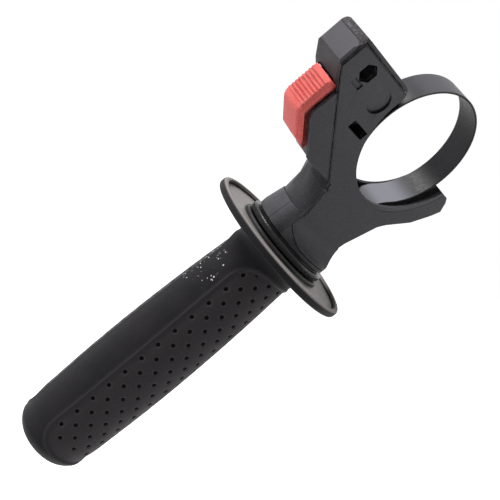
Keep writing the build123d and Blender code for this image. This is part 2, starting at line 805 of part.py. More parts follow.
# Room over the two textured panels, front and rear, down to their recessed floor
with BuildPart() as panel_room:
    with BuildSketch(Plane.XZ):
        with Locations((0, (panel_top_z + panel_floor_z) / 2)):
            RectangleRounded(2 * panel_half_width, panel_top_z - panel_floor_z, panel_corner_radius)
    extrude(amount=panel_half_width + cut_margin, both=True)
    with BuildSketch(Plane.XY.offset(panel_floor_z)):
        for side in (-1, 1):
            with BuildLine():
                Polyline(
                    (panel_near_x, side * panel_near_y),
                    (2 * panel_near_x, side * 2 * panel_near_y),
                    (0, side * 4 * core_radius),
                    (-2 * panel_near_x, side * 2 * panel_near_y),
                    (-panel_near_x, side * panel_near_y),
                    close=True,
                )
            make_face()
    extrude(amount=panel_top_z - panel_floor_z, mode=Mode.INTERSECT)
    with BuildSketch(Plane.XZ):
        with BuildLine():
            grip_line(panel_recess)
            Polyline(
                (grip_tail_radius - panel_recess, grip_tail_z),
                (0, grip_tail_z),
                (0, grip_neck_z),
                (grip_neck_radius - panel_recess, grip_neck_z),
            )
        make_face()
    revolve(axis=Axis.Z, mode=Mode.SUBTRACT)

# Soft sleeve: the grip's skin, closed at the end and wrapped round the flange
with BuildPart() as grip_sleeve:
    with BuildSketch(Plane.XZ):
        with BuildLine():
            Polyline(
                (core_radius, core_bottom_z),
                (core_radius, flange_under_z),
                (flange_core_radius, flange_under_z),
                (flange_core_radius, rim_top_z),
                (rim_radius, rim_top_z),
                (rim_radius, rim_bottom_z),
                (grip_neck_radius + flare_radius, grip_neck_z + flare_radius),
            )
            Polyline(
                (grip_neck_radius + flare_radius, grip_neck_z + flare_radius),
                (
                    grip_neck_radius + flare_radius * (1 - sqrt(0.5)),
                    grip_neck_z + flare_radius * sqrt(0.5),
                ),
                (grip_neck_radius, grip_neck_z),
            )
            grip_line(0)
            Polyline(
                (grip_tail_radius, grip_tail_z),
                (grip_corner_radius, grip_corner_z),
                (grip_cap_radius, grip_cap_z),
                (0, grip_end_z),
            )
            Polyline((0, grip_end_z), (0, core_bottom_z), (core_radius, core_bottom_z))
        make_face()
    revolve(axis=Axis.Z)
    rims = grip_sleeve.edges().filter_by(GeomType.CIRCLE)
    chamfer(rims.filter_by_position(Axis.Z, rim_bottom_z, rim_top_z).sort_by(SortBy.RADIUS)[-2:], rim_edge)
    add(panel_room.part, mode=Mode.SUBTRACT)
grip_sleeve.part.label = "grip_sleeve"

for piece in (
    housing_body,
    front_cover,
    release_button,
    lock_plate,
    button_spring,
    clamp_band,
    band_pin,
    clamp_bolt,
    clamp_nut,
    thrust_ring,
    thrust_washer,
    grip_core,
    grip_sleeve,
):
    export_step(piece.part, f"parts/{piece.part.label}.step")
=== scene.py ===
# %% [markdown]
# # Side handle of a rotary hammer
# The handle is a grip on a round collar: a steel band closes round the tool, a plastic
# housing carries it, and a soft grip turns below a wide flange to pull the band tight.
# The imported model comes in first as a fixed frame. Every piece made here sits on it, in
# metres, so nothing has to be moved into place afterwards.

# %% Load the frame
import math

import bmesh
import bpy
import numpy as np
from mathutils import Matrix, Vector


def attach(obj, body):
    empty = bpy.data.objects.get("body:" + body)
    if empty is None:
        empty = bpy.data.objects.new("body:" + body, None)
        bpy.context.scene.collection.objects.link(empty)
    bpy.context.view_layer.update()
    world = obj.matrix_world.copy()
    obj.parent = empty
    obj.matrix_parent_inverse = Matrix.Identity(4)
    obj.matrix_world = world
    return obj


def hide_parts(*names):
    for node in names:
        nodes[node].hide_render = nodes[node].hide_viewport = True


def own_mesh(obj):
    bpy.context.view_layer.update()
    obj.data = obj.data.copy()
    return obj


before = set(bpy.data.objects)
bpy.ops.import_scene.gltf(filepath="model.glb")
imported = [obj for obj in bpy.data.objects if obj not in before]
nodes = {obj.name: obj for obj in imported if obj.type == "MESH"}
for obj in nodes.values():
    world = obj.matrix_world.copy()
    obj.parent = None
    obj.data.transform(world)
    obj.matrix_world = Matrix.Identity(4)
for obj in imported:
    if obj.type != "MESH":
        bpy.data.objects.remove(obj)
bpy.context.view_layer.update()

MM = 0.001
print("nodes", sorted(nodes))

# %% [markdown]
# ## The camera
# The photograph looks at the handle from the front left, with the picture turned so that
# the grip runs down to the left. A camera can be aimed with a constraint, but its roll is
# then hard to hold. Here its three axes are written out as directions in the object's
# frame, which fixes place, aim and roll at once.

# %% Camera
picture_right = np.array([0.507, -0.410, 0.758])
picture_up = np.array([-0.388, 0.677, 0.625])
camera_place = np.array([-314.0, -241.6, 2.2]) * MM


def square_axes(right, up):
    """Three unit axes at right angles: right as given, up without its share along right,
    and back as right cross up."""
    right = right / np.linalg.norm(right)
    up = up - right * (up @ right)
    up = up / np.linalg.norm(up)
    return np.column_stack([right, up, np.cross(right, up)])


camera_axes = square_axes(picture_right, picture_up)
camera_data = bpy.data.cameras.new("photo_camera")
camera_data.sensor_width = 36.0
camera_data.lens = 75.99
camera_data.clip_start = 0.01
camera = bpy.data.objects.new("photo_camera", camera_data)
camera_matrix = np.eye(4)
camera_matrix[:3, :3] = camera_axes
camera_matrix[:3, 3] = camera_place
camera.matrix_world = Matrix(camera_matrix.tolist())
bpy.context.collection.objects.link(camera)
bpy.context.scene.camera = camera
print("camera", camera_place, "lens", camera_data.lens)

# %% [markdown]
# ## Profiles and surfaces
# Most of the grip is turned work: a profile carried round the Z axis. A profile is a
# short list of points, some of them joined by arcs. A surface is a grid of points with
# one row for each profile point and one column for each angle. Whole arrays make the
# grid in one step, and the mesh takes them as they are.

# %% Helpers for profiles


def arc_through(start, middle, end, steps):
    """Points on the circle through three points, from start to end by way of middle: the
    centre solves two equations of equal distance, and the angle grows in equal steps."""
    a, b, c = (np.array(p, float) for p in (start, middle, end))
    rows = 2.0 * np.array([b - a, c - a])
    centre = np.linalg.solve(rows, [b @ b - a @ a, c @ c - a @ a])
    angles = [math.atan2(*(p - centre)[::-1]) for p in (a, b, c)]
    half = math.remainder(angles[1] - angles[0], math.tau)
    rest = math.remainder(angles[2] - angles[1], math.tau)
    t = angles[0] + np.linspace(0.0, 1.0, steps + 1) * (half + rest)
    radius = np.linalg.norm(a - centre)
    return centre + radius * np.column_stack([np.cos(t), np.sin(t)])


def rounded(corners, radii, steps=6):
    """An open line with rounded corners. The arc at a corner starts and ends at the
    radius over the tangent of half the corner's angle, and a radius of 0 keeps it."""
    line = [np.array([corners[0]], float)]
    for before, corner, after, radius in zip(corners, corners[1:], corners[2:], radii):
        before, corner, after = (np.array(p, float) for p in (before, corner, after))
        if radius == 0:
            line.append(corner[None, :])
            continue
        inward = (before - corner) / np.linalg.norm(before - corner)
        onward = (after - corner) / np.linalg.norm(after - corner)
        half = math.acos(float(np.clip(inward @ onward, -1, 1))) / 2
        reach = radius / math.tan(half)
        bisector = (inward + onward) / np.linalg.norm(inward + onward)
        top = corner + bisector * (radius / math.sin(half) - radius)
        line.append(arc_through(corner + inward * reach, top, corner + onward * reach, steps))
    line.append(np.array([corners[-1]], float))
    return np.vstack(line)


# %% Helpers for meshes


def put_faces(name, grid, wrap_rows=False, masks=None):
    """A closed mesh from a grid of points in millimetres: each cell of neighbours becomes
    a face, the columns join round, and rows that meet in one point become a pole."""
    rows, columns = grid.shape[:2]
    index = np.arange(rows * columns).reshape(rows, columns)
    if wrap_rows:
        index = np.vstack([index, index[:1]])
    right = np.roll(index, -1, axis=1)
    faces = np.stack([index[:-1], right[:-1], right[1:], index[1:]], axis=-1).reshape(-1, 4)
    mesh = bpy.data.meshes.new(name)
    mesh.from_pydata((grid.reshape(-1, 3) * MM).tolist(), [], faces.tolist())
    for label, values in (masks or {}).items():
        layer = mesh.attributes.new(label, "FLOAT", "POINT")
        layer.data.foreach_set("value", values.reshape(-1).astype(np.float32))
    return close_mesh(mesh)


def close_mesh(mesh):
    """Merges points in the same place and turns the faces outwards: the volume summed
    over the faces has to be positive."""
    work = bmesh.new()
    work.from_mesh(mesh)
    bmesh.ops.remove_doubles(work, verts=work.verts, dist=1e-7)
    if work.calc_volume(signed=True) < 0:
        bmesh.ops.reverse_faces(work, faces=work.faces)
    work.to_mesh(mesh)
    work.free()
    return mesh


def turned(profile, columns):
    """Points (r cos t, r sin t, z) for each profile point (r, z) and each of the angles."""
    t = np.arange(columns) * math.tau / columns
    r, z = profile[:, :1], profile[:, 1:]
    return np.stack([r * np.cos(t), r * np.sin(t), z + 0 * t], axis=-1)


def finish_piece(mesh, name, body, replaces, sharp=35.0):
    """Puts a finished mesh into the scene as a piece that stands for its CAD node."""
    mesh.polygons.foreach_set("use_smooth", np.ones(len(mesh.polygons), bool))
    mesh.set_sharp_from_angle(angle=math.radians(sharp))
    piece = bpy.data.objects.new(name, mesh)
    bpy.context.collection.objects.link(piece)
    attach(piece, body)
    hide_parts(replaces)
    print(name, "has", len(mesh.polygons), "faces")
    return piece


# %% [markdown]
# ## The grip's sleeve
# The real sleeve is soft rubber moulded over a hard core and wrapped round the flange's
# edge. It is a body of revolution with two sunk panels, front and rear, full of small
# pits. It could be sculpted or carry a displacement map. A formula for the radius at
# each angle and height is exact, repeats cleanly and leaves real pits in the mesh.

# %% The sleeve's profile
GRIP_COLUMNS = 300
PANEL_ROW = 0.46
cap_end = (0.0, -188.8)
cap_edge = (7.8, -188.0)
grip_corner = (13.0, -185.5)
grip_tail = (15.6, -182.0)
grip_neck = (14.8, -70.0)
grip_stations = np.array([
    grip_tail, (16.8, -173.0), (17.2, -161.0), (17.5, -146.0), (17.5, -132.0), (17.0, -110.0),
    (16.1, -90.0), grip_neck,
])
flare_radius = 5.4
rim_radius = 33.3
rim_top, rim_bottom = -60.7, -64.0
core_edge = 31.1
flange_under = -63.4
core_radius, core_bottom = 12.0, -181.0

flare_top = (grip_neck[0] + flare_radius, grip_neck[1] + flare_radius)
flare_middle = (
    grip_neck[0] + flare_radius * (1 - math.sqrt(0.5)),
    grip_neck[1] + flare_radius * math.sqrt(0.5),
)


def smooth_side(stations, gap):
    """A smooth line through stations (r, z): between two of them r is a cubic of z, whose
    slopes at the ends are the chords' slopes from each station's neighbours."""
    r, z = stations[:, 0], stations[:, 1]
    slope = np.gradient(r, z)
    height = np.linspace(z[0], z[-1], int(math.ceil((z[-1] - z[0]) / gap)) + 1)
    span = np.clip(np.searchsorted(z, height, side="right") - 1, 0, len(z) - 2)
    run = z[span + 1] - z[span]
    t = (height - z[span]) / run
    radius = (
        (2 * t**3 - 3 * t**2 + 1) * r[span] + (3 * t**2 - 2 * t**3) * r[span + 1]
        + (t**3 - 2 * t**2 + t) * run * slope[span] + (t**3 - t**2) * run * slope[span + 1]
    )
    return np.column_stack([radius, height])


rim_line = rounded(
    [flare_top, (rim_radius, rim_bottom), (rim_radius, rim_top), (core_edge, rim_top),
     (core_edge, flange_under)],
    [1.1, 1.1, 0.35],
    steps=8,
)
sleeve_profile = np.vstack([
    arc_through(cap_end, (3.9, -188.6), cap_edge, 8)[:-1],
    arc_through(cap_edge, grip_corner, grip_tail, 14)[:-1],
    smooth_side(grip_stations, PANEL_ROW)[:-1],
    arc_through(grip_neck, flare_middle, flare_top, 12)[:-1],
    rim_line,
    [(core_radius, flange_under), (core_radius, core_bottom), (0.0, core_bottom)],
])
print("sleeve profile", len(sleeve_profile), "points")

# %% Panels and pits
panel_half_angle = math.radians(67.0)
panel_top, panel_floor = -71.0, -181.0
panel_half_width = 17.0
panel_corner = 12.0
panel_blend = 6.0
panel_sink = 0.45
panel_lip = 0.26
pit_angle = math.radians(13.4)
pit_pitch = 8.34
pit_first = -77.2
pit_shift = 4.1
pit_last_row = 12
pit_lines = 4
pit_radius = 1.35
pit_depth = 1.0
panel_edge_width = 0.9
lip_outside, lip_width = 0.35, 0.75
plain_margin = 1.3
FAR_AWAY = 99.0


def ease(x):
    """0 below 0, 1 above 1, and the smooth cubic 3 x squared less 2 x cubed between."""
    x = np.clip(x, 0.0, 1.0)
    return x * x * (3.0 - 2.0 * x)


def panel_inside(angle, radius, z):
    """Distance in from the panel's outline in millimetres. The outline is where a
    rounded rectangle seen from the front meets the sector of the half angle, and their
    meeting is rounded: near it the distance is the blend radius less the hypotenuse."""
    across = np.abs(radius * np.sin(angle)) - (panel_half_width - panel_corner)
    middle = (panel_top + panel_floor) / 2
    along = np.abs(z - middle) - ((panel_top - panel_floor) / 2 - panel_corner)
    outside = np.hypot(np.maximum(across, 0), np.maximum(along, 0))
    rectangle = panel_corner - outside - np.minimum(np.maximum(across, along), 0)
    sector = (panel_half_angle - np.abs(angle)) * radius
    short = panel_blend - np.hypot(panel_blend - rectangle, panel_blend - sector)
    near = (rectangle < panel_blend) & (sector < panel_blend)
    return np.where(near, short, np.minimum(rectangle, sector))


def pit_distance(angle, radius, z):
    """Distance to the nearest pit's centre. Pits stand on lines a fixed angle apart, and
    every second line is shifted by half a pitch."""
    line = np.round(angle / pit_angle)
    odd = np.mod(line, 2)
    first = pit_first + odd * pit_shift
    last = pit_last_row - 1 + odd
    place = np.clip(np.round((first - z) / pit_pitch), 0, last)
    across = (angle - line * pit_angle) * radius
    along = z - (first - place * pit_pitch)
    far = np.where(np.abs(line) > pit_lines, FAR_AWAY, 0.0)
    return np.hypot(across, along) + far


def press_panels(grid):
    """Moves the sleeve's outer points in: by the panel's sink inside its outline, out by
    a small lip on the outline, and in again by each pit's smooth bowl."""
    x, y, z = grid[..., 0], grid[..., 1], grid[..., 2]
    radius = np.hypot(x, y)
    outer = (radius > core_radius + 1.0) & (z < panel_top + 2) & (z > panel_floor - 2)
    angle = np.arctan2(x, np.abs(y))
    inside = panel_inside(angle, radius, z)
    panel = ease(inside / panel_edge_width)
    lip = np.exp(-((inside + lip_outside) / lip_width) ** 2)
    pit = 1.0 - ease(pit_distance(angle, radius, z) / pit_radius)
    pit = pit * (inside > plain_margin)
    depth = (panel_sink * panel - panel_lip * lip + pit_depth * pit) * outer
    shrink = (radius - depth) / np.maximum(radius, 1e-6)
    pressed = np.stack([x * shrink, y * shrink, z], axis=-1)
    return pressed, {"panel": panel * outer, "pit": pit * outer, "lip": lip * outer}


sleeve_grid, sleeve_masks = press_panels(turned(sleeve_profile, GRIP_COLUMNS))
sleeve_mesh = put_faces("soft_sleeve", sleeve_grid, masks=sleeve_masks)
soft_sleeve = finish_piece(sleeve_mesh, "soft_sleeve", "grip", "grip_sleeve")

# %% [markdown]
# ## The thrust ring
# A stepped plastic ring sits between the fixed housing and the turning grip. Its rim is
# the shiny line in the photograph. A turned profile with small round edges catches the
# light as the real one does, so no texture has to fake it.

# %% Thrust ring
ring_radius = 19.0
ring_top, ring_bottom = -57.5, -60.3
spigot_radius, spigot_top = 16.4, -55.4
bore_radius = 4.3
ring_corners = [
    (bore_radius, ring_bottom), (ring_radius, ring_bottom), (ring_radius, ring_top),
    (spigot_radius, ring_top), (spigot_radius, spigot_top), (bore_radius, spigot_top),
]
ring_line = rounded(ring_corners, [0.8, 0.8, 0.0, 0.3], steps=8)
ring_grid = turned(ring_line, 180)
ring_mesh = put_faces("slip_ring", ring_grid, wrap_rows=True)
slip_ring = finish_piece(ring_mesh, "slip_ring", "housing", "thrust_ring")

# %% [markdown]
# ## The return spring
# A small coil spring pushes the button out. It hides inside the housing, but it is a
# real piece and has to shorten when the button is pressed. A round wire carried along a
# helix is the plain way, and the last turns lie closer, as on a spring with flat ends.

# %% Return spring
spring_x0, spring_x1, spring_z = -50.0, -36.5, -14.8
wire_radius = 0.35
coil_radius = 2.35
coil_turns = 5.0
end_pace, end_growth = 0.25, 5.0
wire_sides = 10


def coil_wire(steps):
    """A helix along X: angle grows evenly and the advance is slow over the end turns.
    Each ring of the wire lies in the plane of the radius and the X axis."""
    t = np.linspace(0.0, 1.0, steps)
    angle = t * coil_turns * math.tau
    pace = end_pace + ease(np.minimum(t, 1 - t) * end_growth)
    advance = np.concatenate([[0.0], np.cumsum((pace[1:] + pace[:-1]) / 2)])
    length = spring_x1 - spring_x0 - 2 * wire_radius
    x = spring_x0 + wire_radius + advance / advance[-1] * length
    swell = np.sqrt(np.clip(1 - (1 - np.minimum(t, 1 - t) * steps / 4).clip(0) ** 2, 0, 1))
    side = np.arange(wire_sides) * math.tau / wire_sides
    out = coil_radius + wire_radius * swell[:, None] * np.cos(side)
    along = x[:, None] + wire_radius * swell[:, None] * np.sin(side)
    return np.stack(
        [along, out * np.cos(angle)[:, None], spring_z + out * np.sin(angle)[:, None]], axis=-1
    )


spring_mesh = put_faces("button_coil", coil_wire(361))
button_coil = finish_piece(spring_mesh, "button_coil", "housing", "button_spring")
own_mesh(button_coil)

# %% [markdown]
# ## Moulded and pressed pieces
# The housing, its cover, the button and the band have shapes that the CAD model already
# holds exactly. Drawing them again would only move their edges. Their meshes are copied,
# merged and given a small bevel, because no moulded or pressed edge is a perfect knife
# edge and the bevel is what catches the light.

# %% Bevelled copies of CAD nodes


def bevelled_copy(node, name, body, width, sharp=28.0, segments=2):
    """A copy of a CAD node's mesh: doubles merged, flat neighbours joined to one face,
    and a live bevel of the width in millimetres along its sharp edges."""
    mesh = nodes[node].data.copy()
    mesh.name = name
    work = bmesh.new()
    work.from_mesh(mesh)
    bmesh.ops.remove_doubles(work, verts=work.verts, dist=1e-6)
    bmesh.ops.dissolve_limit(
        work, angle_limit=math.radians(0.6), verts=work.verts, edges=work.edges
    )
    work.to_mesh(mesh)
    work.free()
    mesh.materials.clear()
    piece = finish_piece(mesh, name, body, node, sharp)
    if width:
        bevel = piece.modifiers.new("edge_round", "BEVEL")
        bevel.width = width * MM
        bevel.segments = segments
        bevel.limit_method = "ANGLE"
        bevel.angle_limit = math.radians(sharp)
        bevel.harden_normals = True
        bevel.use_clamp_overlap = True
    return piece


housing_shell = bevelled_copy("housing_body", "housing_shell", "housing", 0.25)
cover_plate = bevelled_copy("front_cover", "cover_plate", "housing", 0.15)
red_button = bevelled_copy("release_button", "red_button", "button", 0.25)
collar_band = bevelled_copy("clamp_band", "collar_band", "clamp", 0.2)
grip_hub = bevelled_copy("grip_core", "grip_hub", "grip", 0.2)

# %% [markdown]
# ## Shared effects
# Several finishes need the same four things: the fine grain that a spark-eroded mould
# leaves, light wear along edges, dust, and painted shade, near black, in deep gaps. Each
# is one node group with named inputs, so that every material uses the same recipe with its own
# numbers.

# %% Node helpers


def tone(red, green, blue):
    """A colour as it is written on screen, 0 to 255, made linear for the shader."""
    c = np.array([red, green, blue]) / 255.0
    linear = np.where(c <= 0.04045, c / 12.92, ((c + 0.055) / 1.055) ** 2.4)
    return (*[float(v) for v in linear], 1.0)


def add(tree, kind, inputs=None, **settings):
    """One node with its own settings, its sockets filled by values or by other outputs."""
    made = tree.nodes.new(kind)
    for key, value in settings.items():
        setattr(made, key, value)
    for key, value in (inputs or {}).items():
        if isinstance(value, bpy.types.NodeSocket):
            tree.links.new(value, made.inputs[key])
        else:
            made.inputs[key].default_value = value
    return made


def math_node(tree, operation, *values, clamp=False):
    """The output of one Math node."""
    made = add(tree, "ShaderNodeMath", dict(enumerate(values)), operation=operation)
    made.use_clamp = clamp
    return made.outputs[0]


def ramp(tree, value, low, high):
    """0 at low, 1 at high, smooth between."""
    inputs = {"Value": value, "From Min": low, "From Max": high}
    made = add(tree, "ShaderNodeMapRange", inputs, interpolation_type="SMOOTHSTEP")
    return made.outputs["Result"]


def fade(tree, value, start, end):
    """The same ramp for a length, its start and end given in millimetres."""
    return ramp(tree, value, start * MM, end * MM)


def product(tree, *masks):
    """All masks multiplied together."""
    result = masks[0]
    for mask in masks[1:]:
        result = math_node(tree, "MULTIPLY", result, mask)
    return result


def greatest(tree, *masks):
    """The greatest of all masks at each place."""
    result = masks[0]
    for mask in masks[1:]:
        result = math_node(tree, "MAXIMUM", result, mask)
    return result


def mix_colour(tree, share, first, second):
    """The colour between two by a share from 0 to 1."""
    made = add(tree, "ShaderNodeMix", {"Factor": share}, data_type="RGBA")
    for socket, value in ((made.inputs[6], first), (made.inputs[7], second)):
        if isinstance(value, bpy.types.NodeSocket):
            tree.links.new(value, socket)
        else:
            socket.default_value = value
    return made.outputs[2]


def new_group(name, inputs, outputs):
    """An empty node group with named value, colour or vector sockets."""
    group = bpy.data.node_groups.new(name, "ShaderNodeTree")
    for label, kind, default in inputs:
        socket = group.interface.new_socket(name=label, in_out="INPUT", socket_type=kind)
        if default is not None:
            socket.default_value = default
    for label, kind in outputs:
        group.interface.new_socket(name=label, in_out="OUTPUT", socket_type=kind)
    return group, group.nodes.new("NodeGroupInput"), group.nodes.new("NodeGroupOutput")


# %% Grain group
grain_group, start, end = new_group(
    "mould_grain",
    [("Vector", "NodeSocketVector", None), ("Scale", "NodeSocketFloat", 2400.0)],
    [("Height", "NodeSocketFloat"), ("Cloud", "NodeSocketFloat")],
)
fine = add(grain_group, "ShaderNodeTexNoise",
           {"Vector": start.outputs["Vector"], "Scale": start.outputs["Scale"], "Detail": 2.0})
large = add(grain_group, "ShaderNodeTexNoise",
            {"Vector": start.outputs["Vector"], "Scale": 90.0, "Detail": 4.0, "Roughness": 0.6})
grain_group.links.new(ramp(grain_group, fine.outputs[0], 0.3, 0.7), end.inputs["Height"])
grain_group.links.new(ramp(grain_group, large.outputs[0], 0.3, 0.7), end.inputs["Cloud"])

# %% Edge wear group
wear_group, start, end = new_group(
    "edge_wear",
    [("Vector", "NodeSocketVector", None), ("Radius", "NodeSocketFloat", 0.0006)],
    [("Mask", "NodeSocketFloat")],
)
soft = add(wear_group, "ShaderNodeBevel", {"Radius": start.outputs["Radius"]}, samples=6)
here = add(wear_group, "ShaderNodeNewGeometry")
turn = add(wear_group, "ShaderNodeVectorMath",
           {0: soft.outputs["Normal"], 1: here.outputs["Normal"]}, operation="DOT_PRODUCT")
bend = ramp(wear_group, turn.outputs["Value"], 0.995, 0.86)
patchy = add(wear_group, "ShaderNodeTexNoise",
             {"Vector": start.outputs["Vector"], "Scale": 350.0, "Detail": 5.0})
rubbed = ramp(wear_group, patchy.outputs[0], 0.38, 0.68)
wear_group.links.new(math_node(wear_group, "MULTIPLY", bend, rubbed), end.inputs["Mask"])

# %% Dust group
dust_group, start, end = new_group(
    "settled_dust",
    [("Vector", "NodeSocketVector", None), ("Scale", "NodeSocketFloat", 900.0)],
    [("Film", "NodeSocketFloat"), ("Specks", "NodeSocketFloat")],
)
facing = add(dust_group, "ShaderNodeSeparateXYZ",
             {0: add(dust_group, "ShaderNodeNewGeometry").outputs["Normal"]})
up = ramp(dust_group, facing.outputs["Z"], 0.1, 0.95)
cloud = add(dust_group, "ShaderNodeTexNoise",
            {"Vector": start.outputs["Vector"], "Scale": 160.0, "Detail": 6.0})
film = math_node(dust_group, "MULTIPLY", up, ramp(dust_group, cloud.outputs[0], 0.25, 0.75))
cells = add(dust_group, "ShaderNodeTexVoronoi",
            {"Vector": start.outputs["Vector"], "Scale": start.outputs["Scale"]})
dust_group.links.new(film, end.inputs["Film"])
dust_group.links.new(ramp(dust_group, cells.outputs["Distance"], 0.32, 0.2), end.inputs["Specks"])
print("groups", [g.name for g in bpy.data.node_groups])

# %% Crevice group
crevice_group, start, end = new_group(
    "crevice_shade",
    [("Distance", "NodeSocketFloat", 0.003)],
    [("Mask", "NodeSocketFloat")],
)
# Painted shade: ambient occlusion finds gaps and corners, and this mask darkens colour there.
shade = add(crevice_group, "ShaderNodeAmbientOcclusion",
            {"Distance": start.outputs["Distance"]}, samples=8)
crevice_group.links.new(ramp(crevice_group, shade.outputs["AO"], 0.8, 0.3), end.inputs["Mask"])

# %% [markdown]
# ## Moulded plastic
# The housing is taken as glass-filled nylon from a textured mould: nearly black, slightly
# blue, matt, and paler where the edges have been rubbed. The same recipe makes the ring,
# the flange and the button with other numbers, so it is a function of colour and gloss.
#
# Some masks below aren't marks of the plastic. They darken the neck, the underside of the
# nose, the heel, the pocket and the button's side where the photograph is in shade, because
# two soft lamps don't make that shade alone. A cleaner way would be lamps and shapes only,
# and a scene with another light can leave these masks out.
# The nose's paler end face is a painted highlight where light falls on it. The rim behind the
# cradle and the hollows are painted shade too, and so is the near black in deep gaps.

# %% Plastic materials
GLOSS_DRIFT = 0.12
WORN_GRAIN = 0.3


def new_material(name):
    """A material with its shader, its tree and Object coordinates."""
    made = bpy.data.materials.new(name)
    made.use_nodes = True
    tree = made.node_tree
    shader = tree.nodes["Principled BSDF"]
    place = add(tree, "ShaderNodeTexCoord").outputs["Object"]
    return made, tree, shader, place


def bump(tree, shader, height, depth, strength=1.0):
    """Feeds a height to the shader's normal, with its depth in millimetres."""
    made = add(tree, "ShaderNodeBump",
               {"Strength": strength, "Distance": depth * MM, "Height": height})
    tree.links.new(made.outputs["Normal"], shader.inputs["Normal"])


def use_group(tree, group, place=None, **values):
    """A shared effect placed in a material, with its coordinates and its own numbers."""
    made = tree.nodes.new("ShaderNodeGroup")
    made.node_tree = group
    if place is not None:
        tree.links.new(place, made.inputs["Vector"])
    for key, value in values.items():
        made.inputs[key].default_value = value
    return made


def moulded(name, dark, light, worn, gloss, grain, specular, patch=None,
            deep=(6, 6, 6), reach=3.0):
    """Moulded plastic: colour between dark and light by the cloud, worn along edges and
    painted near black in deep gaps as shade, with roughness that moves a little round its
    gloss. A patch adds its own mask, colour and height to a part of the surface."""
    made, tree, shader, place = new_material(name)
    texture = use_group(tree, grain_group, place, Scale=grain)
    wear = use_group(tree, wear_group, place)
    gap = use_group(tree, crevice_group, Distance=reach * MM)
    colour = mix_colour(tree, texture.outputs["Cloud"], dark, light)
    height = texture.outputs["Height"]
    if patch is not None:
        colour, height = patch(tree, place, colour, height)
    peaks = product(tree, texture.outputs["Height"], WORN_GRAIN)
    colour = mix_colour(tree, peaks, colour, worn)
    colour = mix_colour(tree, wear.outputs["Mask"], colour, worn)
    # painted shade: the colour goes to the deep tone where the gap mask finds a crevice
    colour = mix_colour(tree, gap.outputs["Mask"], colour, tone(*deep))
    tree.links.new(colour, shader.inputs["Base Color"])
    roughness = math_node(
        tree, "MULTIPLY_ADD", texture.outputs["Cloud"], GLOSS_DRIFT, gloss - GLOSS_DRIFT / 2
    )
    tree.links.new(roughness, shader.inputs["Roughness"])
    shader.inputs["Specular IOR Level"].default_value = specular
    bump(tree, shader, height, 0.03)
    return made


# %% Places on the housing
rod_x, rod_z = -51.6 * MM, 4.0 * MM
window_x, window_z = -32.8 * MM, -10.8 * MM
pocket_x, pocket_z = -37.0 * MM, 0.8 * MM
cradle_z = 4.7 * MM
nose_face_y, nose_face_z, nose_face_round = -7.5 * MM, 8.45 * MM, 2.5 * MM
seam_sides = (
    ((-62.6 * MM, 0.0, 0.0), (1.0, 0.0, 0.0)),
    ((0.0, 0.0, 9.6 * MM), (0.0, 0.0, -1.0)),
    ((-60.6 * MM, 0.0, -2.6 * MM), (0.669, 0.0, 0.743)),
    ((-60.6 * MM, 0.0, -2.6 * MM), (0.576, 0.0, 0.817)),
)
heel_low_side = ((-37.3 * MM, 0.0, -30.0 * MM), (0.188, 0.0, 0.982))
print("centres", (rod_x, rod_z), (window_x, window_z), (pocket_x, pocket_z), (0.0, cradle_z))

# %% Sizes on the housing, in millimetres
half_depth = 8.0
guide_reach = 4.6
window_half_width, window_half_height = 5.3, 2.1
channel_inner, channel_outer, channel_half_width = 30.1, 33.5, 6.58
seam_outset, seam_reach, seam_end_z = 0.12, 0.8, -33.2
heel_top_z, heel_end_x = -26.8, -13.0
pocket_inner, pocket_outer = 4.0, 5.0
nose_end_x = -62.7
crease_radius = 31.8
NEAR_BLACK = tone(4, 4, 4)

# %% Distances for masks


def plane_distance(tree, place, point, normal):
    """How far a place lies in front of a plane: the offset from its point, dotted with
    its normal."""
    offset = add(tree, "ShaderNodeVectorMath", {0: place, 1: point}, operation="SUBTRACT")
    made = add(tree, "ShaderNodeVectorMath",
               {0: offset.outputs[0], 1: normal}, operation="DOT_PRODUCT")
    return made.outputs["Value"]


def centre_distance(tree, axes, x, z):
    """How far a place lies from a line along Y: the root of the squares of x and z."""
    x = math_node(tree, "SUBTRACT", axes.outputs["X"], x)
    z = math_node(tree, "SUBTRACT", axes.outputs["Z"], z)
    return hypotenuse(tree, x, z)


def hypotenuse(tree, a, b):
    """The root of the sum of two squares."""
    squares = (math_node(tree, "MULTIPLY", v, v) for v in (a, b))
    return math_node(tree, "SQRT", math_node(tree, "ADD", *squares))


def axis_distance(tree, axes):
    """How far a place lies from the grip's axis Z."""
    flat = add(tree, "ShaderNodeCombineXYZ", {"X": axes.outputs["X"], "Y": axes.outputs["Y"]})
    made = add(tree, "ShaderNodeVectorMath", {0: flat.outputs[0]}, operation="LENGTH")
    return made.outputs["Value"]


def gap_from(tree, value, middle):
    """How far a value lies from a middle one, on either side."""
    return math_node(tree, "ABSOLUTE", math_node(tree, "SUBTRACT", value, middle))


# %% Hollows of the housing


def hollow_shade(tree, axes):
    """1 on walls that lie behind the faces: round the rod's guide, in the window, and in
    the band's channel, whose distance from the cradle's centre is between two radii.
    These walls are painted near black as shade."""
    depth = math_node(tree, "ABSOLUTE", axes.outputs["Y"])
    behind = fade(tree, depth, half_depth - 0.08, half_depth - 0.18)
    from_rod = centre_distance(tree, axes, rod_x, rod_z)
    guide = product(tree, fade(tree, from_rod, guide_reach, guide_reach - 0.4), behind)
    window = product(
        tree, behind,
        fade(tree, gap_from(tree, axes.outputs["X"], window_x),
             window_half_width, window_half_width - 0.2),
        fade(tree, gap_from(tree, axes.outputs["Z"], window_z),
             window_half_height, window_half_height - 0.2),
    )
    away = centre_distance(tree, axes, 0.0, cradle_z)
    channel = product(
        tree, fade(tree, away, channel_inner, channel_inner + 0.3),
        fade(tree, away, channel_outer, channel_outer - 0.2),
        fade(tree, depth, channel_half_width, channel_half_width - 0.04),
    )
    return greatest(tree, guide, window, channel)


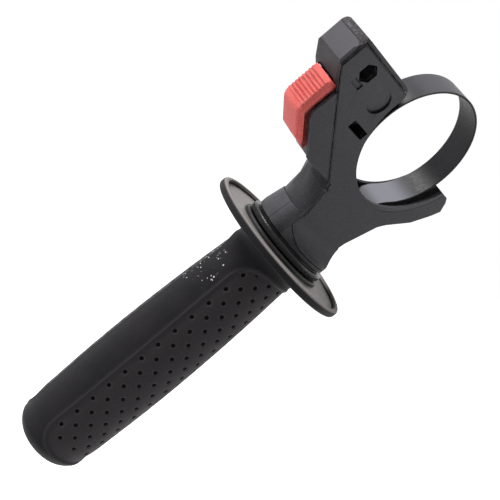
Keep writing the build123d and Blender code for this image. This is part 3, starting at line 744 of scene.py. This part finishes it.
def seam_mask(tree, place, axes):
    """1 on the cover's seam: the least distance inside its four straight sides is near
    zero, on the front face, above the tongue."""
    least = None
    for point, normal in seam_sides:
        side = plane_distance(tree, place, point, normal)
        least = side if least is None else math_node(tree, "MINIMUM", least, side)
    beside = gap_from(tree, least, -seam_outset * MM)
    narrow = fade(tree, beside, seam_reach, seam_reach - 0.3)
    front = fade(tree, axes.outputs["Y"], -6.0, -6.4)
    high = fade(tree, axes.outputs["Z"], seam_end_z, seam_end_z + 0.5)
    return product(tree, narrow, front, high)


# %% Shade on the housing


def heel_shade(tree, place, axes):
    """Near 1 in the wedge between the cheek's heel and the neck, which the photograph shows
    in shade: below the cheek's bottom edge, above a slanted line, behind the flat front."""
    below = fade(tree, axes.outputs["Z"], heel_top_z, heel_top_z - 0.5)
    beside = fade(tree, axes.outputs["X"], heel_end_x, heel_end_x - 1.0)
    above = fade(tree, plane_distance(tree, place, *heel_low_side), -0.4, 0.2)
    back = fade(tree, axes.outputs["Y"], 0.1 - half_depth, 0.25 - half_depth)
    front = fade(tree, axes.outputs["Y"], 6.0, 3.0)
    return product(tree, below, beside, above, back, front, 0.9)


def pocket_shade(tree, axes):
    """1 on the lower right of the round pocket's wall, in shade in the photograph, fading
    out round it."""
    away = centre_distance(tree, axes, pocket_x, pocket_z)
    wall = product(
        tree, fade(tree, away, pocket_inner, pocket_inner + 0.3),
        fade(tree, away, pocket_outer, pocket_outer - 0.2),
    )
    x = math_node(tree, "SUBTRACT", axes.outputs["X"], pocket_x)
    z = math_node(tree, "SUBTRACT", axes.outputs["Z"], pocket_z)
    toward = math_node(tree, "MULTIPLY_ADD", z, 0.1, x)
    return product(tree, wall, fade(tree, toward, 0.4, 3.0))


def rim_shade(tree, axes, away):
    """Near 1 on the rim behind the cradle, low on the loop, where the photograph is in shade."""
    return product(
        tree, fade(tree, away, 31.0, 30.6), fade(tree, axes.outputs["Y"], 0.5, 1.5),
        fade(tree, axes.outputs["Z"], -12.0, -14.0), 0.85,
    )


def painted_shade(tree, axes, colour):
    """The photograph's shade on large faces: a gradient down the flat front, near black
    on the neck and beside the tongue, and a dark underside of the nose."""
    x, y, z = (axes.outputs[label] for label in "XYZ")
    flat_front = fade(tree, y, 0.2 - half_depth, 0.1 - half_depth)
    behind_front = math_node(tree, "SUBTRACT", 1.0, flat_front)
    lower = product(tree, fade(tree, z, 4.0, -26.0), flat_front, 0.5)
    colour = mix_colour(tree, lower, colour, tone(36, 35, 37))
    below_cheek = product(tree, fade(tree, z, -29.0, -31.0), behind_front)
    neck = product(tree, below_cheek, fade(tree, z, -46.4, -46.2), fade(tree, y, 16.0, 2.0), 0.65)
    beside = product(tree, below_cheek, fade(tree, y, 0.0, -6.2), 0.8)
    colour = mix_colour(tree, greatest(tree, neck, beside), colour, tone(10, 10, 11))
    under = product(
        tree, fade(tree, z, -0.1, -0.4), fade(tree, x, -54.5, -55.5), behind_front, 0.7
    )
    return mix_colour(tree, under, colour, tone(32, 26, 28))


# %% Marks of the housing


def nose_inset(tree, axes):
    """How far a place lies inside the nose's end face, whose front upper corner is round:
    the radius less the hypotenuse of what the two distances lack of it."""
    y = math_node(tree, "SUBTRACT", axes.outputs["Y"], nose_face_y)
    z = math_node(tree, "SUBTRACT", nose_face_z, axes.outputs["Z"])
    y = math_node(tree, "MAXIMUM", math_node(tree, "SUBTRACT", nose_face_round, y), 0.0)
    z = math_node(tree, "MAXIMUM", math_node(tree, "SUBTRACT", nose_face_round, z), 0.0)
    return math_node(tree, "SUBTRACT", nose_face_round, hypotenuse(tree, y, z))


def nose_masks(tree, axes):
    """The nose's end face, the corner above and beside it, and the edge between the two,
    where the inset is near zero."""
    x, z = axes.outputs["X"], axes.outputs["Z"]
    inset = nose_inset(tree, axes)
    end_zone = fade(tree, x, nose_end_x + 0.3, nose_end_x)
    face = product(tree, fade(tree, inset, 0.05, 0.25), end_zone, fade(tree, z, -0.1, 0.1))
    rim = product(tree, fade(tree, inset, 0.0, -0.2), end_zone, fade(tree, z, 4.0, 6.0))
    high = fade(tree, z, 8.4, 8.7)
    corner = product(tree, greatest(tree, high, rim), fade(tree, x, -58.5, -60.5))
    edge = product(tree, fade(tree, gap_from(tree, inset, 0.0), 0.3, 0.1), end_zone)
    return face, corner, edge


def coarse_corner(tree, place, corner, colour, height):
    """The nose's slanted corner is dark, with paler lumps of noise that stand proud."""
    coarse = add(tree, "ShaderNodeTexNoise", {"Vector": place, "Scale": 1100.0, "Detail": 3.0})
    lumps = product(tree, corner, ramp(tree, coarse.outputs[0], 0.45, 0.62))
    colour = mix_colour(tree, corner, colour, tone(40, 38, 40))
    colour = mix_colour(tree, lumps, colour, tone(78, 74, 78))
    return colour, math_node(tree, "MULTIPLY_ADD", lumps, 3.0, height)


def arm_masks(tree, axes, away):
    """The strip along the arm's inner edge and the crease beside it, on the front face:
    both follow the distance from the cradle's centre."""
    front = fade(tree, axes.outputs["Y"], 0.1 - half_depth, 0.04 - half_depth)
    arm = product(tree, fade(tree, axes.outputs["X"], 6.0, 16.0), front)
    lip = product(tree, fade(tree, away, crease_radius - 0.2, crease_radius - 0.5), arm)
    beside = gap_from(tree, away, crease_radius * MM)
    return lip, product(tree, fade(tree, beside, 0.4, 0.1), arm)


def parting_line(tree, axes):
    """Near 1 on the collar's parting line, in the plane y = 0."""
    beside = gap_from(tree, axes.outputs["Y"], 0.0)
    return product(
        tree, fade(tree, beside, 0.26, 0.12), fade(tree, axes.outputs["Z"], -45.5, -46.5), 0.8
    )


# %% All marks of the housing together


def housing_marks(tree, place, colour, height):
    """The nose's end face is painted paler, a painted highlight where light falls on it, and
    its slanted corner is coarse. The arm's inner edge is a paler strip. The shade on the
    large faces is painted. The seam and the parting line are near black, and so are the
    hollows and the deepest shade, as painted shade."""
    axes = add(tree, "ShaderNodeSeparateXYZ", {0: place})
    face, corner, edge = nose_masks(tree, axes)
    # Painted highlight: the nose's end face is made paler where light falls on it.
    colour = mix_colour(tree, product(tree, face, 0.35), colour, tone(98, 96, 101))
    colour = painted_shade(tree, axes, colour)
    colour, height = coarse_corner(tree, place, corner, colour, height)
    away = centre_distance(tree, axes, 0.0, cradle_z)
    lip, crease = arm_masks(tree, axes, away)
    colour = mix_colour(tree, product(tree, lip, 0.2), colour, tone(110, 108, 110))
    # Near black: the nose's edge, the crease, the parting line and the seam, with painted shade on
    # the rim, the heel, the pocket and the hollows.
    dark = greatest(
        tree, product(tree, edge, 0.85), product(tree, crease, 0.8), rim_shade(tree, axes, away),
        parting_line(tree, axes), seam_mask(tree, place, axes), heel_shade(tree, place, axes),
        pocket_shade(tree, axes), hollow_shade(tree, axes),
    )
    return mix_colour(tree, dark, colour, NEAR_BLACK), height


# %% Marks of the button and the flange
cheek_edge_x = -54.0 * MM
cheek_corner = (-52.6 * MM, 0.0, -19.9 * MM)
cheek_slope_normal = (-0.569, 0.0, -0.822)


def button_shade(tree, place, colour, height):
    """The cap's side is deep red near the cheek, in its shade: the greater of the
    distances from the cheek's upright edge and from its slope is small there."""
    axes = add(tree, "ShaderNodeSeparateXYZ", {0: place})
    upright = math_node(tree, "SUBTRACT", cheek_edge_x, axes.outputs["X"])
    slope = plane_distance(tree, place, cheek_corner, cheek_slope_normal)
    side = fade(tree, gap_from(tree, axes.outputs["Y"], 0.0), 4.6, 5.4)
    shade = product(tree, fade(tree, greatest(tree, upright, slope), 1.9, 0.9), side)
    return mix_colour(tree, shade, colour, tone(44, 14, 13)), height


def dusty_flange(tree, place, colour, height):
    """Outside the hub the flange's top is pale, as with dust: the distance from the Z
    axis makes the mask, and the film of the dust group breaks it up."""
    axes = add(tree, "ShaderNodeSeparateXYZ", {0: place})
    outside = fade(tree, axis_distance(tree, axes), 20.0, 20.8)
    dust = use_group(tree, dust_group, place)
    film = math_node(tree, "MULTIPLY_ADD", dust.outputs["Film"], 0.5, 0.5)
    pale = mix_colour(tree, film, tone(114, 109, 108), tone(154, 148, 147))
    return mix_colour(tree, outside, colour, pale), height


# %% Plastic finishes
housing_plastic = moulded(
    "housing_plastic", tone(57, 56, 59), tone(67, 66, 70), tone(88, 86, 90), 0.5, 2600.0, 0.1,
    housing_marks,
)
ring_plastic = moulded(
    "ring_plastic", tone(20, 20, 21), tone(26, 26, 27), tone(54, 54, 56), 0.27, 1500.0, 0.22
)
core_plastic = moulded(
    "core_plastic", tone(26, 25, 26), tone(34, 33, 34), tone(80, 76, 74), 0.4, 2600.0, 0.15,
    dusty_flange,
)
button_plastic = moulded(
    "button_plastic", tone(196, 76, 73), tone(210, 92, 88), tone(236, 152, 144), 0.5, 2200.0, 0.08,
    button_shade, (168, 58, 55), 1.5,
)

# %% [markdown]
# ## Soft rubber
# The sleeve is matt black rubber. Its pits are painted near black as shade, each pit's rim
# has a painted highlight, the panels' lips are a little paler, and pale specks, taken as
# dust, cling to the smooth side. The masks that shaped the surface are kept on the mesh, so
# the colours follow the panels and pits exactly.

# %% Rubber masks
speck_place = (-15.0 * MM, 4.5 * MM, -87.0 * MM)
RUBBER_GLOSS = 0.56
grip_rubber, tree, shader, place = new_material("grip_rubber")
texture = use_group(tree, grain_group, place, Scale=2000.0)
specks = use_group(tree, dust_group, place, Scale=800.0)
gap = use_group(tree, crevice_group, Distance=2.0 * MM)
axes = add(tree, "ShaderNodeSeparateXYZ", {0: place})
from_spot = add(tree, "ShaderNodeVectorMath", {0: place, 1: speck_place}, operation="DISTANCE")
region = fade(tree, from_spot.outputs["Value"], 12.0, 7.0)
thin = add(tree, "ShaderNodeTexNoise", {"Vector": place, "Scale": 500.0, "Detail": 2.0})
patches = ramp(tree, thin.outputs[0], 0.57, 0.62)
speck_mask = product(tree, specks.outputs["Specks"], patches, region)
pit, lip, panel = (
    add(tree, "ShaderNodeAttribute", attribute_name=label).outputs["Fac"]
    for label in ("pit", "lip", "panel")
)
blot = product(tree, panel, ramp(tree, texture.outputs["Height"], 0.35, 0.9), 0.4)
away = axis_distance(tree, axes)
rim_side = fade(tree, axes.outputs["Z"], rim_bottom - 1.2, rim_bottom - 0.2)
rim_upper = product(
    tree, fade(tree, away, core_edge - 0.5, core_edge - 0.3),
    fade(tree, away, rim_radius, rim_radius - 0.5),
    fade(tree, axes.outputs["Z"], rim_top - 1.3, rim_top - 0.7),
)

# %% Rubber colours, each laid over the one before
colour = mix_colour(tree, texture.outputs["Cloud"], tone(25, 24, 26), tone(34, 32, 35))
for share, over in (
    (panel, tone(49, 47, 49)),
    (blot, tone(62, 55, 58)),
    (rim_side, tone(30, 29, 31)),
    (product(tree, lip, 0.5), tone(60, 58, 61)),
    # painted highlight round each pit's rim
    (product(tree, ramp(tree, pit, 0.0, 0.06), 0.35), tone(78, 75, 77)),
    # painted shade in the pits
    (ramp(tree, pit, 0.14, 0.36), tone(6, 6, 7)),
    # painted shade in deep gaps, from ambient occlusion
    (gap.outputs["Mask"], tone(8, 8, 8)),
    (rim_upper, tone(144, 138, 137)),
    (speck_mask, tone(226, 224, 224)),
):
    colour = mix_colour(tree, share, colour, over)
tree.links.new(colour, shader.inputs["Base Color"])
roughness = math_node(
    tree, "MULTIPLY_ADD", texture.outputs["Cloud"], GLOSS_DRIFT, RUBBER_GLOSS - GLOSS_DRIFT / 2
)
tree.links.new(roughness, shader.inputs["Roughness"])
shader.inputs["Specular IOR Level"].default_value = 0.07
bump(tree, shader, texture.outputs["Height"], 0.04)
print("rubber nodes", len(tree.nodes))

# %% [markdown]
# ## Steel
# The band is taken as blackened spring steel with a satin, slightly brushed face. The
# brushing runs along the strip, so the noise is stretched round the loop: it reads the
# angle about the loop's axis and the width instead of plain coordinates. The pale tone on
# its lower inner side is painted, because a bare metal finish mirrors the white room all
# round the loop. The small parts inside are plain zinc-plated steel.

# %% Steel materials
sheen_x, sheen_z = -0.42, 0.906
sheen_inner = 0.65
around_weight = 8.0 * MM


def steel(name, dark, light, gloss, metal, specular, loop=None):
    """Satin steel, bare or under a dark coat. A loop's place is turned into the angle round
    it, weakly, and its width, strongly, so that the noise becomes long thin lines. The
    loop's own tone is painted where the strip faces up, for the sheen that the photograph
    shows there."""
    made, tree, shader, place = new_material(name)
    if loop is not None:
        axes = add(tree, "ShaderNodeSeparateXYZ", {0: place})
        facing = add(tree, "ShaderNodeSeparateXYZ",
                     {0: add(tree, "ShaderNodeNewGeometry").outputs["Normal"]})
        inner = fade(tree, axes.outputs["Z"], 10.0, -5.0)
        share = math_node(tree, "MULTIPLY_ADD", inner, sheen_inner, 1 - sheen_inner)
        upward = math_node(tree, "MULTIPLY_ADD", facing.outputs["X"], sheen_x,
                           product(tree, facing.outputs["Z"], sheen_z))
        sheen = product(tree, ramp(tree, upward, 0.72, 0.95), share)
        around = math_node(tree, "ARCTAN2", axes.outputs["Z"], axes.outputs["X"])
        inputs = {"X": product(tree, around, around_weight), "Y": axes.outputs["Y"]}
        place = add(tree, "ShaderNodeCombineXYZ", inputs).outputs[0]
    scale = 700.0 if loop is None else 1500.0
    grain = add(tree, "ShaderNodeTexNoise", {"Vector": place, "Scale": scale, "Detail": 4.0})
    streak = ramp(tree, grain.outputs[0], 0.3, 0.7)
    colour = mix_colour(tree, streak, dark, light)
    if loop is not None:
        colour = mix_colour(tree, sheen, colour, loop)
    tree.links.new(colour, shader.inputs["Base Color"])
    roughness = math_node(tree, "MULTIPLY_ADD", streak, 0.1, gloss - 0.1 / 2)
    tree.links.new(roughness, shader.inputs["Roughness"])
    shader.inputs["Metallic"].default_value = metal
    shader.inputs["Specular IOR Level"].default_value = specular
    bump(tree, shader, grain.outputs[0], 0.01)
    return made


band_steel = steel(
    "band_steel", tone(20, 20, 22), tone(27, 27, 30), 0.42, 0.0, 0.12, tone(126, 126, 134)
)
zinc_steel = steel("zinc_steel", tone(150, 152, 156), tone(182, 184, 188), 0.34, 1.0, 0.5)

# %% Paint the pieces
finishes = {
    housing_plastic: [housing_shell, cover_plate],
    button_plastic: [red_button],
    ring_plastic: [slip_ring],
    core_plastic: [grip_hub],
    grip_rubber: [soft_sleeve],
    band_steel: [collar_band],
    zinc_steel: [button_coil] + [
        nodes[n] for n in ("band_pin", "clamp_bolt", "clamp_nut", "thrust_washer", "lock_plate")
    ],
}
for finish, painted in finishes.items():
    for piece in painted:
        piece.data.materials.clear()
        piece.data.materials.append(finish)
print("finishes", [f.name for f in finishes])

# %% [markdown]
# ## Floor, light and background
# The photograph shows the handle cut out on pure white. A wide pale floor below the grip
# and a white world for camera, glossy and see-through rays give that white without more
# light on the handle. A lamp from the upper left behind lights the nose and the tops, and
# a larger, weaker one from the right in front fills the rest.

# %% Floor
floor_z = -0.25
floor_size = 6.0
floor_mesh = bpy.data.meshes.new("floor")
floor_mesh.from_pydata(
    [(x * floor_size, y * floor_size, floor_z) for x, y in ((-1, -1), (1, -1), (1, 1), (-1, 1))],
    [], [(0, 1, 2, 3)],
)
floor = bpy.data.objects.new("floor", floor_mesh)
bpy.context.collection.objects.link(floor)
pale, tree, shader, place = new_material("pale_floor")
shader.inputs["Base Color"].default_value = (0.9, 0.9, 0.9, 1.0)
shader.inputs["Roughness"].default_value = 0.9
shader.inputs["Specular IOR Level"].default_value = 0.0
rays = add(tree, "ShaderNodeLightPath")
seen = math_node(tree, "MAXIMUM", rays.outputs["Is Camera Ray"], rays.outputs["Is Glossy Ray"])
seen = math_node(tree, "MAXIMUM", seen, rays.outputs["Is Transmission Ray"])
shader.inputs["Emission Color"].default_value = (1.0, 1.0, 1.0, 1.0)
tree.links.new(math_node(tree, "MULTIPLY", seen, 0.85), shader.inputs["Emission Strength"])
floor.data.materials.append(pale)

# %% World
world = bpy.data.worlds.new("studio")
world.use_nodes = True
bpy.context.scene.world = world
tree = world.node_tree
tree.nodes.clear()
rays = add(tree, "ShaderNodeLightPath")
seen = math_node(tree, "MAXIMUM", rays.outputs["Is Camera Ray"], rays.outputs["Is Glossy Ray"])
seen = math_node(tree, "MAXIMUM", seen, rays.outputs["Is Transmission Ray"])
ambient = 0.24  # the world's strength on the handle, against 1 for the camera
strength = math_node(tree, "MULTIPLY_ADD", seen, 1.0 - ambient, ambient)
white = (1.0, 1.0, 1.0, 1.0)
background = add(tree, "ShaderNodeBackground", {"Color": white, "Strength": strength})
add(tree, "ShaderNodeOutputWorld", {"Surface": background.outputs[0]})

# %% Lamps


def soft_box(name, direction, distance, size, power):
    """A square lamp at a distance from the handle's middle, aimed at it."""
    data = bpy.data.lights.new(name, "AREA")
    data.size = size
    data.energy = power
    lamp = bpy.data.objects.new(name, data)
    middle = Vector((0.0, 0.0, -0.06))
    toward = Vector(direction).normalized()
    lamp.location = middle + toward * distance
    lamp.rotation_euler = toward.to_track_quat("Z", "Y").to_euler()
    bpy.context.collection.objects.link(lamp)
    print(name, [round(v, 2) for v in lamp.location], power, "W")
    return lamp


soft_box("key_box", (-0.64, 0.58, 0.50), 0.9, 0.3, 11.0)
soft_box("fill_box", (0.55, -0.75, 0.36), 1.2, 0.7, 5.5)

# %% View transform
bpy.context.scene.view_settings.view_transform = "Standard"
bpy.context.view_layer.update()
